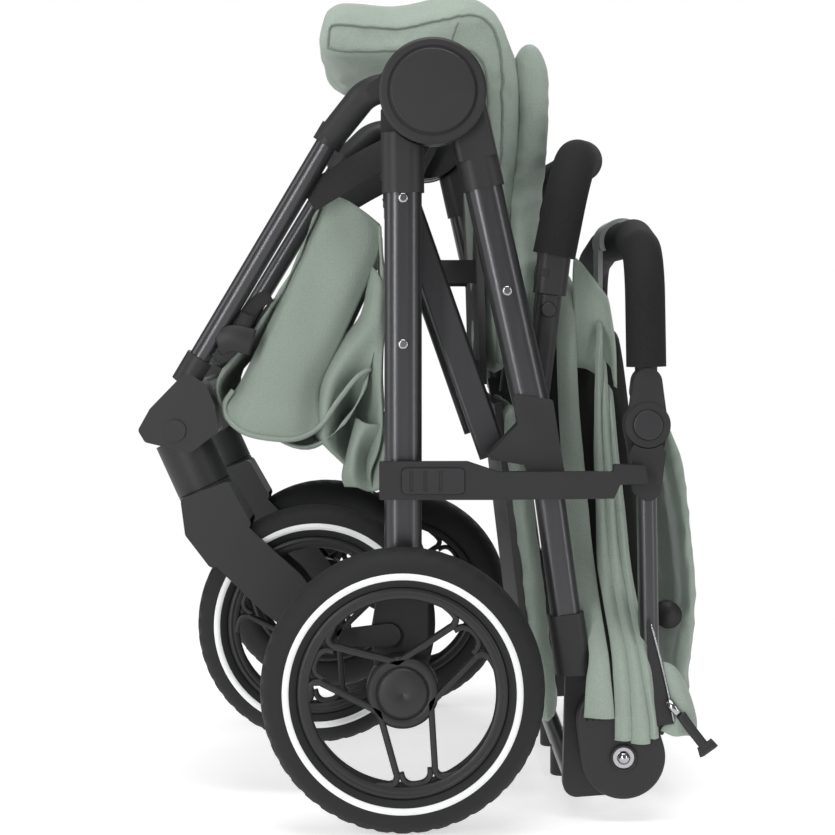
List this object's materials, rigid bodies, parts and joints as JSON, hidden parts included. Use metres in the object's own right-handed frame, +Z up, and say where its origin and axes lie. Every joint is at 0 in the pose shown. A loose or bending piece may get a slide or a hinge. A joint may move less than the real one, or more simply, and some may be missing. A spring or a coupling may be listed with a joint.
{
  "type": "stroller",
  "caption": "Compact all-terrain stroller, folded and standing upright: black tube frame, swivel front wheels, larger rear wheels, green cloth seat, canopy and basket.",
  "frame": {"origin": "on the floor, under the middle of the folded package", "axes": "+X from the front wheels to the push handle, +Y from the stroller's left side to its right side, +Z up"},
  "size_m": [0.4634, 0.574, 0.668],
  "materials": {
    "frame_tube": "black anodised, satin",
    "frame_plastic": "fine moulded texture",
    "button_plastic": "fine moulded texture",
    "steel": "turned",
    "rivet": "dark chrome, domed",
    "tyre": "matte rubber with a fine tread",
    "rim": "moulded, satin",
    "grip_foam": "closed-cell foam sleeve",
    "trigger": "satin grey",
    "board": "pressed board",
    "green_fabric": "sage woven cloth"
  },
  "bodies": {
    "hub": {"hub_cross_tube": "frame_tube", "hub_pivot_pins": "steel", "hub_housings": "frame_plastic", "hub_caps": "frame_plastic"},
    "rear_frame": {"rear_legs": "frame_tube", "rear_leg_sockets": "frame_plastic", "rear_brace": "frame_tube", "axle_housings": "frame_plastic", "rear_axles": "steel", "rear_leg_rivets": "rivet", "basket": "green_fabric"},
    "brake": {"brake_pedal": "frame_plastic"},
    "rear_wheel_left": {"rear_tyre_left": "tyre", "rear_rim_left": "rim"},
    "rear_wheel_right": {"rear_tyre_right": "tyre", "rear_rim_right": "rim"},
    "lower_bar": {"lower_push_bars": "frame_tube", "push_bar_sockets": "frame_plastic", "bar_connectors": "frame_plastic", "lower_thin_bars": "frame_tube", "fold_hinge_plates": "frame_plastic", "stand_brace": "frame_tube", "stand_feet": "frame_plastic", "push_bar_rivets": "rivet", "bumper_mounts": "frame_plastic"},
    "bumper": {"bumper_bar": "frame_plastic", "bumper_foam": "grip_foam"},
    "bumper_release_left": {"bumper_button_left": "button_plastic"},
    "bumper_release_right": {"bumper_button_right": "button_plastic"},
    "upper_bar": {"fold_hinge_shells": "frame_plastic", "fold_hinge_pins": "rivet", "upper_push_bars": "frame_tube", "tilt_joint_bodies": "frame_plastic"},
    "handle": {"handle_bar": "frame_plastic", "handle_foam": "grip_foam"},
    "trigger": {"fold_trigger": "trigger"},
    "tilt_release_left": {"tilt_button_left": "button_plastic"},
    "tilt_release_right": {"tilt_button_right": "button_plastic"},
    "front_frame": {"front_elbows": "frame_plastic", "front_tubes": "frame_tube", "caster_sockets": "frame_plastic"},
    "caster_left": {"caster_fork_left": "frame_plastic", "front_axle_left": "steel"},
    "caster_right": {"caster_fork_right": "frame_plastic", "front_axle_right": "steel"},
    "front_wheel_left": {"front_tyre_left": "tyre", "front_rim_left": "rim"},
    "front_wheel_right": {"front_tyre_right": "tyre", "front_rim_right": "rim"},
    "seat": {"seat_rails": "frame_tube", "seat_board": "board", "seat_pad": "green_fabric", "seat_cushion": "green_fabric"},
    "leg_rest": {"leg_rest": "green_fabric"},
    "backrest": {"backrest_board": "board", "backrest_pad": "green_fabric"},
    "canopy": {"canopy_folds": "green_fabric", "canopy_shell": "green_fabric"},
    "lock": {"lock_strap": "frame_plastic"},
    "lock_release": {"lock_button": "button_plastic"}
  },
  "joints": [
    {"name": "frame_fold", "type": "hinge", "parent": "hub", "child": "lower_bar", "pos_m": [0.0124, 0, 0.5807], "axis": [0, -1, 0], "range_deg": [0, 114]},
    {"name": "rear_leg_spread", "type": "hinge", "parent": "hub", "child": "rear_frame", "pos_m": [0.0124, 0, 0.5807], "axis": [0, -1, 0], "range_deg": [0, 46.5]},
    {"name": "front_leg_spread", "type": "hinge", "parent": "hub", "child": "front_frame", "pos_m": [0.0124, 0, 0.5807], "axis": [0, 1, 0], "range_deg": [0, 24.7]},
    {"name": "push_bar_unfold", "type": "hinge", "parent": "lower_bar", "child": "upper_bar", "pos_m": [0.1637, 0, 0.0523], "axis": [0, 1, 0], "range_deg": [0, 161.6]},
    {"name": "seat_turn", "type": "hinge", "parent": "hub", "child": "seat", "pos_m": [0.0124, 0, 0.5807], "axis": [0, -1, 0], "range_deg": [0, 80.2]},
    {"name": "backrest_raise", "type": "hinge", "parent": "seat", "child": "backrest", "pos_m": [0.07, 0, 0.336], "axis": [0, -1, 0], "range_deg": [0, 58.2]},
    {"name": "canopy_swing", "type": "hinge", "parent": "lower_bar", "child": "canopy", "pos_m": [0.14, 0, 0.118], "axis": [0, 1, 0], "range_deg": [0, 65.2]},
    {"name": "leg_rest_raise", "type": "hinge", "parent": "seat", "child": "leg_rest", "pos_m": [0.056, 0, 0.664], "axis": [0, 1, 0], "range_deg": [0, 80]},
    {"name": "handle_tilt", "type": "hinge", "parent": "upper_bar", "child": "handle", "pos_m": [0.1838, 0, 0.3157], "axis": [0, 1, 0], "range_deg": [0, 60]},
    {"name": "fold_trigger_squeeze", "type": "hinge", "parent": "handle", "child": "trigger", "pos_m": [0.1858, 0, 0.469], "axis": [0, -1, 0], "range_deg": [0, 12], "stiffness_Nm_per_rad": 0.4},
    {"name": "tilt_button_left_press", "type": "slide", "parent": "handle", "child": "tilt_release_left", "axis": [0, 1, 0], "range_m": [0, 0.0025], "stiffness_N_per_m": 400},
    {"name": "tilt_button_right_press", "type": "slide", "parent": "handle", "child": "tilt_release_right", "axis": [0, -1, 0], "range_m": [0, 0.0025], "stiffness_N_per_m": 400},
    {"name": "bumper_pull_out", "type": "slide", "parent": "lower_bar", "child": "bumper", "axis": [0.1216, 0, 0.9926], "range_m": [0, 0.05]},
    {"name": "bumper_button_left_press", "type": "slide", "parent": "lower_bar", "child": "bumper_release_left", "axis": [0, 1, 0], "range_m": [0, 0.002], "stiffness_N_per_m": 400},
    {"name": "bumper_button_right_press", "type": "slide", "parent": "lower_bar", "child": "bumper_release_right", "axis": [0, -1, 0], "range_m": [0, 0.002], "stiffness_N_per_m": 400},
    {"name": "rear_wheel_left_spin", "type": "hinge", "parent": "rear_frame", "child": "rear_wheel_left", "pos_m": [-0.0117, -0.265, 0.111], "axis": [0, 1, 0], "continuous": true},
    {"name": "rear_wheel_right_spin", "type": "hinge", "parent": "rear_frame", "child": "rear_wheel_right", "pos_m": [-0.0117, 0.265, 0.111], "axis": [0, 1, 0], "continuous": true},
    {"name": "brake_press", "type": "hinge", "parent": "rear_frame", "child": "brake", "pos_m": [-0.022, -0.24, 0.15], "axis": [0, -1, 0], "range_deg": [0, 18]},
    {"name": "caster_left_swivel", "type": "hinge", "parent": "front_frame", "child": "caster_left", "pos_m": [-0.1787, -0.13, 0.2586], "axis": [0.4149, 0, -0.9099], "range_deg": [-20, 20]},
    {"name": "caster_right_swivel", "type": "hinge", "parent": "front_frame", "child": "caster_right", "pos_m": [-0.1787, 0.13, 0.2586], "axis": [0.4149, 0, -0.9099], "range_deg": [-20, 20]},
    {"name": "front_wheel_left_spin", "type": "hinge", "parent": "caster_left", "child": "front_wheel_left", "pos_m": [-0.0833, -0.13, 0.1433], "axis": [0, 1, 0], "continuous": true},
    {"name": "front_wheel_right_spin", "type": "hinge", "parent": "caster_right", "child": "front_wheel_right", "pos_m": [-0.0833, 0.13, 0.1433], "axis": [0, 1, 0], "continuous": true},
    {"name": "transport_lock_swing", "type": "hinge", "parent": "rear_frame", "child": "lock", "pos_m": [-0.027, -0.238, 0.2725], "axis": [0, 0, -1], "range_deg": [0, 90]},
    {"name": "lock_button_press", "type": "slide", "parent": "lock", "child": "lock_release", "axis": [0, 1, 0], "range_m": [0, 0.0025], "stiffness_N_per_m": 400}
  ],
  "couplings": [
    {"joint": "rear_leg_spread", "follows": "frame_fold", "ratio": 0.40614},
    {"joint": "front_leg_spread", "follows": "frame_fold", "ratio": 0.21491},
    {"joint": "push_bar_unfold", "follows": "frame_fold", "ratio": 1.4158},
    {"joint": "seat_turn", "follows": "frame_fold", "ratio": 0.70175},
    {"joint": "backrest_raise", "follows": "frame_fold", "ratio": 0.50877},
    {"joint": "canopy_swing", "follows": "frame_fold", "ratio": 0.57018}
  ]
}
